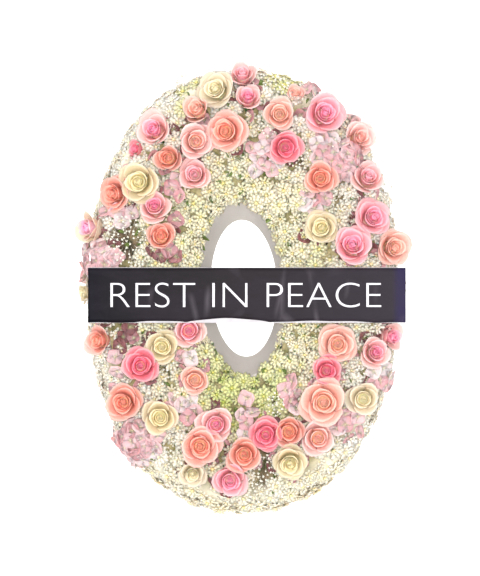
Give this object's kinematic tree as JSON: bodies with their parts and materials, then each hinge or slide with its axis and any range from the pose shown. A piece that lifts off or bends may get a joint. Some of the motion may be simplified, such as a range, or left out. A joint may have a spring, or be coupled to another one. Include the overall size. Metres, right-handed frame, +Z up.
{
  "type": "memorial wreath",
  "caption": "Oval hanging ring of white foam covered with chrysanthemums, roses and hydrangeas, with a tapering hole and a dark banner across its middle.",
  "frame": {"origin": "the point on the underside of the hanging loop's bow where a hook carries it", "axes": "+Z up as the wreath hangs, the flowers and the banner's face look along -Y, +X to the right seen from the front"},
  "size_m": [0.6389, 0.1933, 0.8654],
  "materials": {
    "foam": "white expanded polystyrene, hot-wire cut, matt and finely beaded",
    "panel": "white foam board, smooth and matt",
    "wire": "galvanised wire, satin",
    "floral_foam": "dark green floral foam, crumbly and matt",
    "chrysanthemum": "fresh petals, cream white with yellow-green centres, matt",
    "hydrangea": "fresh petals, pale pink and lilac, soft and matt",
    "rose_pink": "fresh petals, pink with a deeper heart, soft sheen",
    "rose_peach": "fresh petals, peach with an orange heart, soft sheen",
    "rose_cream": "fresh petals, cream with a yellow heart, soft sheen",
    "board": "white foam board, smooth and matt",
    "sheet": "charcoal black film, creased, soft gloss",
    "bamboo": "split bamboo, dry and matt"
  },
  "bodies": {
    "root": {"foam_body": "foam", "back_panel": "panel", "hanging_loop": "wire", "floral_foam_left": "floral_foam", "chrysanthemum_bed_left": "chrysanthemum", "banner_pick_left": "bamboo", "floral_foam_right": "floral_foam", "chrysanthemum_bed_right": "chrysanthemum", "banner_pick_right": "bamboo", "rose_pink_01": "rose_pink", "rose_pink_02": "rose_pink", "rose_pink_03": "rose_pink", "rose_pink_04": "rose_pink", "rose_pink_05": "rose_pink", "rose_pink_06": "rose_pink", "rose_pink_07": "rose_pink", "rose_pink_08": "rose_pink", "rose_pink_09": "rose_pink", "rose_pink_10": "rose_pink", "rose_pink_11": "rose_pink", "rose_pink_12": "rose_pink", "rose_pink_13": "rose_pink", "rose_pink_14": "rose_pink", "rose_pink_15": "rose_pink", "rose_pink_16": "rose_pink", "rose_pink_17": "rose_pink", "rose_pink_18": "rose_pink", "rose_pink_19": "rose_pink", "rose_peach_01": "rose_peach", "rose_peach_02": "rose_peach", "rose_peach_03": "rose_peach", "rose_peach_04": "rose_peach", "rose_peach_05": "rose_peach", "rose_peach_06": "rose_peach", "rose_peach_07": "rose_peach", "rose_peach_08": "rose_peach", "rose_peach_09": "rose_peach", "rose_peach_10": "rose_peach", "rose_peach_11": "rose_peach", "rose_peach_12": "rose_peach", "rose_peach_13": "rose_peach", "rose_peach_14": "rose_peach", "rose_peach_15": "rose_peach", "rose_peach_16": "rose_peach", "rose_peach_17": "rose_peach", "rose_peach_18": "rose_peach", "rose_peach_19": "rose_peach", "rose_cream_01": "rose_cream", "rose_cream_02": "rose_cream", "rose_cream_03": "rose_cream", "rose_cream_04": "rose_cream", "rose_cream_05": "rose_cream", "rose_cream_06": "rose_cream", "rose_cream_07": "rose_cream", "rose_cream_08": "rose_cream", "hydrangea_1": "hydrangea", "hydrangea_2": "hydrangea", "hydrangea_3": "hydrangea", "banner_board": "board", "banner_sheet": "sheet"}
  },
  "joints": []
}
